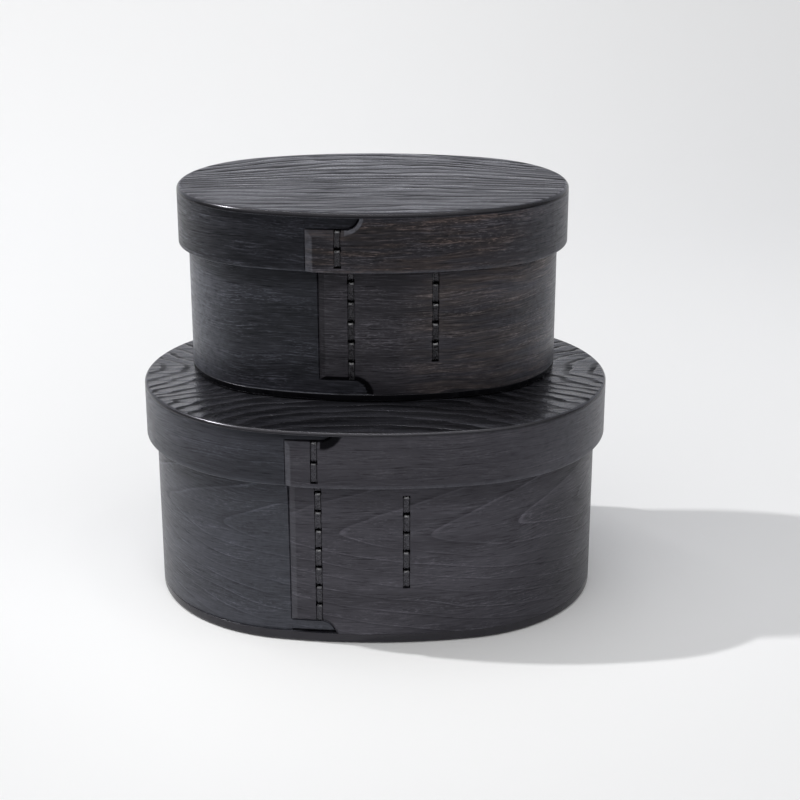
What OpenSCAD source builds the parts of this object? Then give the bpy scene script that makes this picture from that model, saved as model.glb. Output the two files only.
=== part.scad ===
// Pair of oval bentwood boxes with lift-off lids, the small one standing on the large one.
// Each wall is one bent board whose scarfed ends overlap and are laced with bark strips.
// Millimetres, +Z up, long axis along X, laps at the front, which is -Y.

/* [Large box] */
// outside length of the large body
large_length = 199; // [150:0.5:260]
// outside width of the large body
large_width = 147; // [110:0.5:190]
// how far the long sides bow out past the end circles
large_side_bow = 3; // [1.5:0.1:12]
// thickness of the large base board
large_base_thickness = 4.4; // [3:0.1:6]
// height of the large body's band
large_band_height = 91.3; // [70:0.1:120]
// how far the large lid reaches down over its body
large_lid_depth = 21.2; // [16:0.1:40]
// thickness of the large lid board's lip, which covers the top of its band
large_lid_lip = 1.6; // [1.2:0.1:3]
// rounding of the large lid's upper edge
large_lid_edge = 1.4; // [0.4:0.1:2.6]
// place of the body's outer lap end along X
large_tab_x = -36; // [-44:0.5:-20]
// place of the lid's lap end along X
large_lid_tab_x = -37.2; // [-44:0.5:-20]
// height of the notch under the body's tab
large_notch = 5.6; // [3:0.1:9]
// length of that notch before its rounded end
large_notch_length = 12.8; // [10:0.1:18]
// height of the notch above the lid's tab
large_lid_notch = 2.9; // [2:0.1:6]
// length of the lid's notch before its rounded end
large_lid_notch_length = 15; // [10:0.1:18]
// width of the bevel along the lid's notch
large_lid_notch_bevel = 4.2; // [0.8:0.1:5]
// distance of the outer row and the lid's row from their lap ends
large_row_inset = 12.4; // [10:0.1:15]
// distance of the outer row's last pass from the rim
large_row_rim = 7.6; // [6:0.1:12]
// lowest pass of the inner stitch above the base board
large_inner_row_low = 22; // [10:0.5:30]
// highest pass of the inner stitch below the rim
large_inner_row_top = 26.2; // [10:0.2:40]
// stitches in the large body's outer row
large_outer_stitches = 9; // [5:1:12]
// stitches in the large body's inner row
large_inner_stitches = 5; // [3:1:8]

/* [Small box] */
// outside length of the small body
small_length = 165; // [120:0.5:170]
// outside width of the small body
small_width = 108.6; // [80:0.2:120]
// how far the long sides bow out past the end circles
small_side_bow = 5.8; // [2:0.1:14]
// thickness of the small base board
small_base_thickness = 3.3; // [2.5:0.1:6]
// height of the small body's band
small_band_height = 77.7; // [60:0.1:84]
// how far the small lid reaches down over its body
small_lid_depth = 22.1; // [16:0.1:34]
// thickness of the small lid board's lip, which covers the top of its band
small_lid_lip = 2.3; // [1.2:0.1:3]
// rounding of the small lid's upper edge
small_lid_edge = 2; // [0.4:0.1:2.6]
// place of the body's outer lap end along X
small_tab_x = -22.6; // [-34:0.2:-14]
// place of the lid's lap end along X
small_lid_tab_x = -28; // [-36:0.2:-14]
// height of the notch under the body's tab
small_notch = 6.3; // [3:0.1:9]
// length of that notch before its rounded end
small_notch_length = 14.4; // [10:0.1:18]
// height of the notch above the lid's tab
small_lid_notch = 5.4; // [2:0.1:8]
// length of the lid's notch before its rounded end
small_lid_notch_length = 16.8; // [10:0.1:18]
// width of the bevel along the lid's notch
small_lid_notch_bevel = 3.2; // [0.8:0.1:5]
// distance of the outer row and the lid's row from their lap ends
small_row_inset = 13.9; // [10:0.1:15]
// distance of the outer row's last pass from the rim
small_row_rim = 9; // [6:0.1:12]
// lowest pass of the inner stitch above the base board
small_inner_row_low = 14.4; // [8:0.1:20]
// highest pass of the inner stitch below the rim
small_inner_row_top = 10.7; // [7:0.1:20]
// stitches in the small body's outer row
small_outer_stitches = 7; // [4:1:10]
// stitches in the small body's inner row
small_inner_stitches = 6; // [3:1:8]
// place of the small box along X on the large lid
small_shift_x = -1; // [-6:0.5:6]
// how far back the small box stands on the large lid
small_shift_y = 13.7; // [0:0.1:16]

/* [Boards] */
// thickness of the bent boards
wall = 3.9; // [3:0.1:5]
// rounding of the base boards' lower edge
base_edge = 1.4; // [0.5:0.1:2.5]
// thickness of the lid boards inside their lips
lid_thickness = 3.8; // [3:0.1:6]
// play between a lid and the body under it
lid_gap = 0.6; // [0.4:0.05:1.2]

/* [Lap] */
// length of the overlap in the body bands
body_lap = 62; // [50:1:66]
// length of the overlap in the lid bands
lid_lap = 26; // [22:0.5:40]
// thickness left at each scarfed end
lap_step = 1.1; // [0.6:0.05:1.5]
// glue line between the two layers
glue_line = 0.12; // [0.08:0.02:0.3]
// width of the bevel on the lap ends
end_bevel = 2.8; // [1:0.1:4]
// width of the bevel along the notch in the bodies
body_notch_bevel = 1.5; // [0.6:0.1:3]
// radius of the notch's rounded end
notch_round = 6.6; // [4:0.1:9]

/* [Bark stitches] */
// width of the bark strip
strip_width = 2.5; // [2:0.1:4]
// depth of the groove the strip lies in
strip_groove = 0.55; // [0.35:0.05:0.8]
// how far the middle of a stitch stands out
strip_crown = 0.15; // [0.05:0.01:0.2]
// thickness of the strip where it dips into a hole
strip_dip = 0.25; // [0.15:0.01:0.3]
// thickness of the doubled strip inside a hole
strip_pass = 1.1; // [0.7:0.1:1.6]
// play between strip and wood
strip_play = 0.15; // [0.1:0.01:0.3]
// distance of the bodies' inner rows from the inner lap ends
inner_row_inset = 12.1; // [10:0.1:15]
// how far the pass beside a tab bites into the tab's edge
row_bite = 0.4; // [0.2:0.05:0.6]
// distance of the lid stitch's last pass from the lid's lower edge
row_lid_edge = 2; // [1.7:0.1:5]
// stitches in each lid
lid_stitches = 2; // [2:1:4]

/* [Hidden] */

wood = [0.10, 0.10, 0.11];
wood_light = [0.14, 0.14, 0.15];
bark = [0.20, 0.18, 0.17];

// offset of a lid's outside from its body's outside
lid_over = lid_gap + wall;
large_rim = large_base_thickness + large_band_height;
small_rim = small_base_thickness + small_band_height;
large_top = large_rim + lid_thickness;
// heights of the lid bands, which reach up to the lips
large_lid_height = large_lid_depth + lid_thickness - large_lid_lip;
small_lid_height = small_lid_depth + lid_thickness - small_lid_lip;
// least upright edge left under the rounding of a lip
lip_side = 0.1;
// slices in the rounding of a board's edge
round_steps = 4;
// overlaps that join neighbouring arcs and neighbouring stitches
join = 0.002;
run_overlap = 0.06;

// An oval of four arcs: half length, half width, end radius, end centre, side centre, side radius.
function oval(l, w, bow) =
  let (a = l / 2, b = w / 2, r = b - bow, c = a - r, d = (c * c - bow * bow) / (2 * bow))
  [a, b, r, c, d, b + d];

large = oval(large_length, large_width, large_side_bow);
small = oval(small_length, small_width, small_side_bow);

// Angle of the front wall at a place along X, seen from the centre of the side arc.
function turn(o, off, x) = asin(x / (o[5] + off));

// Point in plan on the front wall at an angle and a depth below its outside.
function spot(o, off, angle, depth) =
  [(o[5] + off - depth) * sin(angle), o[4] - (o[5] + off - depth) * cos(angle)];

// Angle taken up by a length along the front wall.
function sweep(o, off, length) = length / (o[5] + off) * 180 / PI;

// Centre of the arc of the given radius through two points of the front wall.
function arc_centre(p, q, radius) =
  let (m = (p + q) / 2, v = q - p, half = norm(v) / 2, n = [-v[1], v[0]] / norm(v))
  m + n * sqrt(radius * radius - half * half);

// The scarf between the layers: plan points of its two ends and the centre of its arc.
function scarf(o, off, x, lap) =
  let (t1 = turn(o, off, x), t2 = turn(o, off, x + lap),
    p = spot(o, off, t1, lap_step * cos(t1) + glue_line / 2),
    q = spot(o, off, t2, wall - lap_step * cos(t2) + glue_line / 2))
  [t1, t2, arc_centre(p, q, o[5] + off)];

// Oval outline moved out or in by an offset.
module oval_2d(o, off) {
  r = o[2] + off;
  side = o[5] + off;
  reach = side * o[3] / norm([o[3], o[4]]);
  intersection() {
    translate([0, -o[4]])
      circle(r = side, $fn = 240);
    translate([0, o[4]])
      circle(r = side, $fn = 240);
    union() {
      square([2 * reach, 4 * o[1]], center = true);
      for (s = [-1, 1])
        translate([s * o[3], 0])
          circle(r = r + join, $fn = 96);
    }
  }
}

// Board of oval outline with its upper edge rounded.
module rounded_board(o, off, thickness, edge) {
  hull()
    for (k = [0 : round_steps]) {
      lean = 90 * k / round_steps;
      linear_extrude(thickness - edge + edge * sin(lean))
        oval_2d(o, off - edge * (1 - cos(lean)));
    }
}

// Lid board: a rounded lip over the top of the band and a plug that fits inside the band.
module lid_board(o, lip, edge) {
  union() {
    translate([0, 0, lid_thickness - lip])
      rounded_board(o, lid_over, lip, min(edge, lip - lip_side));
    linear_extrude(lid_thickness - lip / 2)
      oval_2d(o, lid_over - wall - glue_line);
  }
}

// Wedge of the plan between two angles of the front wall.
module wedge_2d(o, off, from, to) {
  polygon([[0, o[4]], spot(o, off, from, -o[5] / 5), spot(o, off, to, -o[5] / 5)]);
}

// Plan of the step left of the tab, where the under layer lies bare and fades out round the end.
module outer_step_2d(o, off, x) {
  t = turn(o, off, x);
  foot = spot(o, off, t, lap_step);
  top = spot(o, off, t + sweep(o, off, end_bevel), 0);
  past = top + (top - foot) / lap_step;
  far_x = -o[0] - off - 5;
  far_y = -o[1] - off - 5;
  difference() {
    polygon([past, foot, [foot[0], 2 * lap_step], [far_x, 2 * lap_step], [far_x, far_y], [past[0], far_y]]);
    translate([0, lap_step])
      oval_2d(o, off);
  }
}

// Plan of the step right of the inner end, inside the wall.
module inner_step_2d(o, off, x, lap) {
  t = turn(o, off, x + lap);
  foot = spot(o, off, t, wall - lap_step);
  top = spot(o, off, t - sweep(o, off, end_bevel), wall);
  past = top + (top - foot) / lap_step;
  far_x = o[0] + off + 5;
  far_y = -o[1] - off - 5;
  intersection() {
    polygon([past, [past[0], 2 * lap_step], [far_x, 2 * lap_step], [far_x, far_y], [foot[0], far_y], foot]);
    translate([0, -lap_step])
      oval_2d(o, off - wall);
  }
}

// Plan of a bent board: an oval ring that is open along the glue line of its lap.
module bent_board_2d(o, off, x, lap) {
  s = scarf(o, off, x, lap);
  difference() {
    oval_2d(o, off);
    oval_2d(o, off - wall);
    outer_step_2d(o, off, x);
    inner_step_2d(o, off, x, lap);
    intersection() {
      wedge_2d(o, off, s[0] - sweep(o, off, 1), s[1] + sweep(o, off, 1));
      difference() {
        translate(s[2])
          circle(r = o[5] + off + glue_line, $fn = 720);
        translate(s[2])
          circle(r = o[5] + off, $fn = 720);
      }
    }
  }
}

// Places children on the front wall: X along the wall, Y into it, Z up.
module on_wall(o, off, x) {
  translate([0, o[4], 0])
    rotate(turn(o, off, x))
      translate([0, -o[5] - off, 0])
        children();
}

// Cut that makes the tab narrower than the band at the top, with a bevel and a rounded end.
module notch_cut(o, off, x, lap, height, notch, length, bevel) {
  s = scarf(o, off, x, lap);
  side = o[5] + off;
  low = height - notch;
  slope = bevel / lap_step;
  end_x = x + length;
  start = s[0] - sweep(o, off, 3);
  stop = turn(o, off, end_x) + sweep(o, off, 0.7);
  intersection() {
    union() {
      translate([0, o[4], 0])
        rotate(start - 90)
          rotate_extrude(angle = stop - start, $fn = 720)
            polygon([[side - wall, low], [side - lap_step, low], [side + 1, low - bevel - slope],
              [side + 1, height + 1], [side - wall, height + 1]]);
      on_wall(o, off, end_x)
        translate([0, 0, low + notch_round])
          rotate([-90, 0, 0])
            rotate([0, 0, -2])
              rotate_extrude(angle = 88, $fn = 96)
                polygon([[0, -1], [notch_round + bevel + slope, -1], [notch_round, lap_step],
                  [notch_round, wall], [0, wall]]);
    }
    translate([0, 0, -1])
      linear_extrude(height + 3)
        difference() {
          wedge_2d(o, off, start - 1, stop + sweep(o, off, 20));
          translate(s[2])
            circle(r = side, $fn = 720);
        }
  }
}

// Groove and holes for one row of stitches.
module row_cut(o, off, x, low, high, count) {
  pass = strip_pass + 2 * strip_play;
  width = strip_width + 2 * strip_play;
  on_wall(o, off, x) {
    for (i = [0 : count])
      translate([-width / 2, -1, low + (high - low) * i / count - pass / 2])
        cube([width, wall + 2, pass]);
    translate([-width / 2, -1, low - pass / 2])
      cube([width, 1 + strip_groove, high - low + pass]);
    translate([-width / 2, wall - strip_groove, low - pass / 2])
      cube([width, 1 + strip_groove, high - low + pass]);
  }
}

// Side view of one row of stitches: crowned runs on both faces, joined through the holes.
module strip_2d(low, high, count, crown) {
  pitch = (high - low) / count;
  for (i = [0 : count - 1])
    for (face = [0, 1])
      translate([face * wall, low + pitch * (i + 0.5)])
        mirror([face, 0])
          crowned_run_2d(pitch, face == 0 ? crown[0] : crown[1]);
  for (i = [0 : count])
    translate([strip_groove - strip_dip / 2, low + pitch * i - strip_pass / 2])
      square([wall - 2 * strip_groove + strip_dip, strip_pass]);
}

// Side view of one stitch between two holes: flat below, crowned above.
module crowned_run_2d(pitch, crown) {
  rise = strip_groove + crown - strip_dip;
  bend = (pitch * pitch / 4 + rise * rise) / (2 * rise);
  intersection() {
    translate([bend - crown, 0])
      circle(r = bend, $fn = 360);
    translate([-crown - 1, -pitch / 2 - run_overlap])
      square([strip_groove + crown + 1, pitch + 2 * run_overlap]);
  }
}

// One bark strip laced through the wall.
module strip(o, off, x, low, high, count, crown) {
  on_wall(o, off, x)
    rotate([90, 0, 90])
      linear_extrude(strip_width, center = true)
        strip_2d(low, high, count, crown);
}

// The crown of a lid's stitch stays below the inside face, clear of the body.
body_crown = [strip_crown, strip_crown];
lid_crown = [strip_crown, -strip_crown];

// Places of the stitch rows along X.
large_row_x = large_tab_x + large_row_inset;
small_row_x = small_tab_x + small_row_inset;
large_lid_row_x = large_lid_tab_x + large_row_inset;
small_lid_row_x = small_lid_tab_x + small_row_inset;
function inner_row_x(x) = x + body_lap - inner_row_inset;

// Heights of the stitch rows above the lower edge of their band.
function tab_pass(notch) = notch + row_bite - strip_pass / 2 - strip_play;
function outer_row(notch, top) = [tab_pass(notch), top];
function lid_row(notch, height) = [row_lid_edge, height - tab_pass(notch)];
large_outer_row = outer_row(large_notch, large_band_height - large_row_rim);
small_outer_row = outer_row(small_notch, small_band_height - small_row_rim);
large_inner_row = [large_inner_row_low, large_band_height - large_inner_row_top];
small_inner_row = [small_inner_row_low, small_band_height - small_inner_row_top];
large_lid_row = lid_row(large_lid_notch, large_lid_height);
small_lid_row = lid_row(small_lid_notch, small_lid_height);

// Bent board of a body with its lap, notch below the tab and two rows of holes.
module body_band(o, height, x, notch, notch_length, outer_x, outer, outer_count, inner, inner_count) {
  difference() {
    linear_extrude(height)
      bent_board_2d(o, 0, x, body_lap);
    translate([0, 0, height])
      mirror([0, 0, 1])
        notch_cut(o, 0, x, body_lap, height, notch, notch_length, body_notch_bevel);
    row_cut(o, 0, outer_x, outer[0], outer[1], outer_count);
    row_cut(o, 0, inner_row_x(x), inner[0], inner[1], inner_count);
  }
}

// Bent board of a lid with its lap, notch above the tab and one row of holes.
module lid_band(o, height, x, notch, notch_length, bevel, row_x, row) {
  difference() {
    linear_extrude(height)
      bent_board_2d(o, lid_over, x, lid_lap);
    notch_cut(o, lid_over, x, lid_lap, height, notch, notch_length, bevel);
    row_cut(o, lid_over, row_x, row[0], row[1], lid_stitches);
  }
}

// Large box, bottom to top.
module large_base_board() {
  color(wood)
    translate([0, 0, large_base_thickness])
      mirror([0, 0, 1])
        rounded_board(large, 0, large_base_thickness, base_edge);
}

module large_body_band() {
  color(wood_light)
    translate([0, 0, large_base_thickness])
      body_band(large, large_band_height, large_tab_x, large_notch, large_notch_length, large_row_x,
        large_outer_row, large_outer_stitches, large_inner_row, large_inner_stitches);
}

module large_body_outer_stitch() {
  color(bark)
    translate([0, 0, large_base_thickness])
      strip(large, 0, large_row_x, large_outer_row[0], large_outer_row[1],
        large_outer_stitches, body_crown);
}

module large_body_inner_stitch() {
  color(bark)
    translate([0, 0, large_base_thickness])
      strip(large, 0, inner_row_x(large_tab_x), large_inner_row[0], large_inner_row[1],
        large_inner_stitches, body_crown);
}

module large_lid_band() {
  color(wood_light)
    translate([0, 0, large_rim - large_lid_depth])
      lid_band(large, large_lid_height, large_lid_tab_x, large_lid_notch, large_lid_notch_length,
        large_lid_notch_bevel, large_lid_row_x, large_lid_row);
}

module large_lid_board() {
  color(wood)
    translate([0, 0, large_rim])
      lid_board(large, large_lid_lip, large_lid_edge);
}

module large_lid_stitch() {
  color(bark)
    translate([0, 0, large_rim - large_lid_depth])
      strip(large, lid_over, large_lid_row_x, large_lid_row[0], large_lid_row[1],
        lid_stitches, lid_crown);
}

// The small box stands on the large lid, a little behind its middle.
module on_large_lid() {
  translate([small_shift_x, small_shift_y, large_top])
    children();
}

module small_base_board() {
  color(wood)
    on_large_lid()
      translate([0, 0, small_base_thickness])
        mirror([0, 0, 1])
          rounded_board(small, 0, small_base_thickness, base_edge);
}

module small_body_band() {
  color(wood_light)
    on_large_lid()
      translate([0, 0, small_base_thickness])
        body_band(small, small_band_height, small_tab_x, small_notch, small_notch_length, small_row_x,
          small_outer_row, small_outer_stitches, small_inner_row, small_inner_stitches);
}

module small_body_outer_stitch() {
  color(bark)
    on_large_lid()
      translate([0, 0, small_base_thickness])
        strip(small, 0, small_row_x, small_outer_row[0], small_outer_row[1],
          small_outer_stitches, body_crown);
}

module small_body_inner_stitch() {
  color(bark)
    on_large_lid()
      translate([0, 0, small_base_thickness])
        strip(small, 0, inner_row_x(small_tab_x), small_inner_row[0], small_inner_row[1],
          small_inner_stitches, body_crown);
}

module small_lid_band() {
  color(wood_light)
    on_large_lid()
      translate([0, 0, small_rim - small_lid_depth])
        lid_band(small, small_lid_height, small_lid_tab_x, small_lid_notch, small_lid_notch_length,
          small_lid_notch_bevel, small_lid_row_x, small_lid_row);
}

module small_lid_board() {
  color(wood)
    on_large_lid()
      translate([0, 0, small_rim])
        lid_board(small, small_lid_lip, small_lid_edge);
}

module small_lid_stitch() {
  color(bark)
    on_large_lid()
      translate([0, 0, small_rim - small_lid_depth])
        strip(small, lid_over, small_lid_row_x, small_lid_row[0], small_lid_row[1],
          lid_stitches, lid_crown);
}

large_body_band();
large_base_board();
large_body_outer_stitch();
large_body_inner_stitch();
large_lid_band();
large_lid_board();
large_lid_stitch();
small_body_band();
small_base_board();
small_body_outer_stitch();
small_body_inner_stitch();
small_lid_band();
small_lid_board();
small_lid_stitch();
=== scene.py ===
import math

import bpy
import numpy as np
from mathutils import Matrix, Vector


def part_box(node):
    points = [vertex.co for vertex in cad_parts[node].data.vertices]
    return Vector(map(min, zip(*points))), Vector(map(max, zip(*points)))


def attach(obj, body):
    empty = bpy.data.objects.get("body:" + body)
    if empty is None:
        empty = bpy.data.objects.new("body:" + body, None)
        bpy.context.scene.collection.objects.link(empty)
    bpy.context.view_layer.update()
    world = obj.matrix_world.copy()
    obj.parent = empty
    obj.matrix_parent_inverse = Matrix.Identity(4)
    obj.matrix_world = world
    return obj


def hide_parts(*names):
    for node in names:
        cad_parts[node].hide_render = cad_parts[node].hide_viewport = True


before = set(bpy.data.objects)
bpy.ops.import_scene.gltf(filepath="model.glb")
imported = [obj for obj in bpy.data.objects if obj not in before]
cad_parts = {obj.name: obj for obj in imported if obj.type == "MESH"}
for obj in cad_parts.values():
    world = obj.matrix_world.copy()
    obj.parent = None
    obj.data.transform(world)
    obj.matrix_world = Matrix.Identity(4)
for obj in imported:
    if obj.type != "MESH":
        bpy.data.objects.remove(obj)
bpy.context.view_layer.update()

# Visual model of a stacked pair of oval bentwood boxes with lift-off lids.
# Shapes are worked out in millimetres and scaled when a mesh is made.
MM = 0.001
SHARP_ANGLE = math.radians(38)
rng = np.random.default_rng(11)

# Bent boards: sizes that the boxes of the frame's nodes don't give
SIDE_BOW = {"large": 3.0, "small": 5.8}
WALL = 3.9
LAP = {"body": 62.0, "lid": 26.0}
LAP_STEP = 1.1
END_BEVEL = {"large_body": 2.8, "large_lid": 2.6, "small_body": 2.8, "small_lid": 3.5}
INNER_BEVEL = 2.8
# Power of the cosine by which the bare under layer blends into the full wall
FADE_POWER = 3
# Notch beside each tab: height, length before the rounded end, bevel, bevel round the end
NOTCH = {
    "large_body": (5.6, 12.8, 1.5, 1.5),
    "large_lid": (2.9, 15.0, 2.6, 3.6),
    "small_body": (6.3, 14.4, 2.0, 2.6),
    "small_lid": (5.4, 16.8, 3.2, 1.8),
}
NOTCH_ROUND = 6.6
# The bevel starts to change width this far before the rounded end, over this length
BEVEL_LEAD = 3.0
BEVEL_CHANGE = 5.0
# Open line along the notch's edge: width and depth
NOTCH_LINE = (0.55, 0.9)
# Gap between the under layer and the base board in the large body's notch
NOTCH_GAP = {"large_body": 1.0}
NOTCH_GAP_DEPTH = 1.6
# Opening of the line at the tab's foot, at the band's lower edge and at its rim, and its depth per width
FOOT_LINE = {"body": (0.26, 0.65), "lid": (0.2, 0.2)}
FOOT_LINE_DEPTH = 1.6
# Easing of the bands' lower and upper outer edges, and of all inner edges
BAND_EASE = {
    "large_body": (0.12, 0.5),
    "large_lid": (0.45, 0.35),
    "small_body": (0.12, 0.5),
    "small_lid": (0.45, 0.15),
}
INNER_EASE = 0.4

# Mesh steps of a band: round the oval, along the lap and at the tab, and reach past the lap and the notch
OVAL_STEP = 2.4
LAP_MESH_STEP = 1.0
TAB_STEP = 0.3
LAP_REACH = 4.0
NOTCH_REACH = 2.0
# Mesh lines beside the tab's foot, and on both sides of a sharp step
FOOT_LINES = (-1.0, -0.8, -0.6, -0.45, -0.3, -0.18, -0.1)
STEP_LINE = 0.02
# Steps up a band: at the notch, over the rest of its outside and over its inside
NOTCH_LEVEL = 0.26
NOTCH_LEVEL_REACH = 1.5
OPEN_LEVEL = {"body": 2.6, "lid": 1.6}
INNER_LEVEL = 6.0

# Tone of the tab's bevels and lower edge, paler above 0 and darker below: tab's end, straight notch,
# rounded notch, lower edge. Paler is rubbed stain plus painted light, darker is painted shade; the lower
# edge's pale line is worn stain plus a painted highlight
WEAR_AND_PAINTED_LIGHT = {
    "large_body": (0.10, 0.0, 0.0, 0.0),
    "large_lid": (0.28, 0.12, -0.95, 0.4),
    "small_body": (-0.3, -0.95, -0.95, 0.0),
    "small_lid": (0.34, 0.14, 0.7, 0.45),
}
# Steepness of the change where a bevel starts, and height in easings where the lower edge's pale line ends
BEVEL_TONE_RISE = 5
EDGE_TONE_END = 1.5
# Painted light and shade on the bare under layer, with its darkest value, and on the left and right ends
# of the oval
BARE_PAINTED_LIGHT_AND_SHADE = {"large_body": 0.11, "large_lid": -0.2, "small_body": -0.25, "small_lid": -0.6}
BARE_BLACKEST = -0.65
END_PAINTED_LIGHT_AND_SHADE = {
    "large_body": (0.09, -0.3),
    "large_lid": (0.22, 0.3),
    "small_body": (0.65, 0.48),
    "small_lid": (0.08, 0.36),
}
# Painted shade below a lid's lip: how much, its reach, and where it ends as a share of the reach
LIP_PAINTED_SHADE = (0.5, 4.0)
LIP_PAINTED_SHADE_END = 1.2
# Painted shade on a body close to its lid: how much, and its reach
LID_PAINTED_SHADE = (0.4, 11.0)
# Painted highlights on the base boards' ledges and on the lid boards' lower lips
LEDGE_HIGHLIGHT = {"large": 0.15, "small": 0.6}
LIP_HIGHLIGHT = 0.35

# Lacing: distance of the outer row from the tab's foot, and loops in each row
ROW_INSET = {"large": 12.4, "small": 13.9}
STITCHES = {
    "large_body_outer_stitch": 9,
    "large_body_inner_stitch": 5,
    "large_lid_stitch": 2,
    "small_body_outer_stitch": 7,
    "small_body_inner_stitch": 6,
    "small_lid_stitch": 2,
}
STRIP_WIDTH = 2.4
STRIP_THICK = 0.45
STRIP_CROWN = 0.1
STRIP_HOLLOW = 0.24
STRIP_BEND = 0.8
STRIP_PASS = 1.1
# How far the strip stands out of the outer and of the inner face; in a lid it stays clear of the body
STRIP_PROUD = 0.06
STRIP_PROUD_INSIDE = {"body": 0.08, "lid": -0.15}
# How the loops differ: share of the width, shift, lean, and strength of the painted glint on the shoulder
STRIP_SHARES = (0.86, 0.99)
STRIP_SHIFT = 0.14
STRIP_LEAN = 0.03
STRIP_GLINT = (0.3, 1.0)
# How steeply the painted glint fades from the middle of the strip to its edges
STRIP_GLINT_FADE = 1.8
# Points along a loop's face, and how many of them its line is smoothed over
LOOP_POINTS = 15
LOOP_SMOOTH = 5
# Jump of the bark's pattern from one loop to the next, per millimetre of height
STRIP_JUMP = 37
HOLE_HEIGHT = 2.1
HOLE_WIDTH = 3.1
# The two pits of a hole stop short of each other inside the wall
HOLE_DEPTH = 2.4
INNER_HOLE_DEPTH = 1.1
GROOVE = 0.6
GROOVE_PLAY = 0.22
# Widths of the sloping sides of grooves and ends of holes, and the painted shade in a groove beside a hole
GROOVE_RAMP = 0.1
HOLE_RAMP = 0.12
GROOVE_SHADE = 0.3

# Flat boards
PLUG_PLAY = 0.12
LID_ROUND = {"large": 1.4, "small": 2.0}
BASE_ROUND = 1.4
BOARD_EASE = 0.2
# Corner between a lid's plug and its lip: inset and height
PLUG_CORNER = (0.05, 0.02)
# The ledge's painted highlight: where it starts, and where it ends as a share of the lap's step
LEDGE_START = 0.3
LEDGE_END = 1.2
# Points round a board, points of a rounded edge, and rings between its middle and its edge
BOARD_POINTS = 420
ROUND_POINTS = 7
BOARD_RINGS = (0.1, 0.3, 0.5, 0.7, 0.85, 0.95)


class Oval:
    """Oval of four arcs, measured along its length from the middle of the front, positive to the right."""

    def __init__(self, low, high, bow, grow=0.0):
        length, width = (high - low)[:2]
        end = width / 2 - bow
        self.centre = (low + high) / 2
        self.end_x = length / 2 - end
        self.side_y = (self.end_x**2 - bow**2) / (2 * bow)
        self.end = end + grow
        self.side = width / 2 + self.side_y + grow
        self.lean = math.atan2(self.end_x, self.side_y)
        self.side_run = self.side * self.lean
        self.to_back = self.side_run + self.end * (math.pi - 2 * self.lean)
        self.length = 2 * (self.to_back + self.side_run)

    def turn(self, s):
        """Angle of the outward normal from the front."""
        run = np.abs(s)
        front = run / self.side
        end = self.lean + (run - self.side_run) / self.end
        back = math.pi - self.lean + (run - self.to_back) / self.side
        angle = np.where(run <= self.side_run, front, np.where(run <= self.to_back, end, back))
        return np.sign(s) * angle

    def place(self, s, depth):
        """Plan position, from the oval's centre, at a depth below the outside."""
        run = np.abs(s)
        angle = self.turn(s)
        on_end = (run > self.side_run) & (run <= self.to_back)
        centre_x = np.where(on_end, np.sign(s) * self.end_x, 0.0)
        centre_y = np.where(on_end, 0.0, np.where(run > self.to_back, -self.side_y, self.side_y))
        radius = np.where(on_end, self.end, self.side) - depth
        return centre_x + radius * np.sin(angle), centre_y - radius * np.cos(angle)

    def run_to(self, x):
        """Length along the front to a place along X."""
        return self.side * math.asin(x / self.side)


def node_box(node):
    """Corners of a CAD node in millimetres."""
    low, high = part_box(node)
    return np.array(low) / MM, np.array(high) / MM


def add_piece(node, ending, points, faces, grain, body, material):
    """A piece of the object in place of a CAD node, from points in millimetres."""
    mesh = bpy.data.meshes.new(f"{node}_{ending}")
    mesh.from_pydata((np.asarray(points) * MM).tolist(), [], faces)
    layer = mesh.attributes.new("grain", "FLOAT_VECTOR", "POINT")
    layer.data.foreach_set("vector", np.asarray(grain, dtype=np.float32).ravel())
    mesh.shade_smooth()
    mesh.set_sharp_from_angle(angle=SHARP_ANGLE)
    mesh.materials.append(material)
    piece = bpy.data.objects.new(mesh.name, mesh)
    bpy.context.scene.collection.objects.link(piece)
    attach(piece, body)
    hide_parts(node)


def grid_faces(count, ring, start=0, closed=True):
    """Quads between neighbouring rings of points, each ring closed on itself."""
    i = np.arange(count if closed else count - 1)[:, None]
    j = np.arange(ring)[None, :]
    ahead = (i + 1) % count * ring
    beside = (j + 1) % ring
    corners = np.broadcast_arrays(i * ring + j, ahead + j, ahead + beside, i * ring + beside)
    return (np.stack(corners, axis=-1).reshape(-1, 4) + start).tolist()


def grid_lines(spans, marks, clear=0.04):
    """Places from (start, stop, step) spans, with exact ones at the marks and none too close to a mark."""
    base = np.concatenate([np.arange(*span) for span in spans])
    marks = np.unique(np.round(marks, 4))
    apart = np.abs(base[:, None] - marks[None, :]).min(axis=1) > clear
    return np.unique(np.concatenate([base[apart], marks]))


def soft_box(value, half, ramp):
    """1 inside a half width, 0 outside, with a short ramp between."""
    return np.clip((half - np.abs(value)) / ramp + 0.5, 0.0, 1.0)


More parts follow.
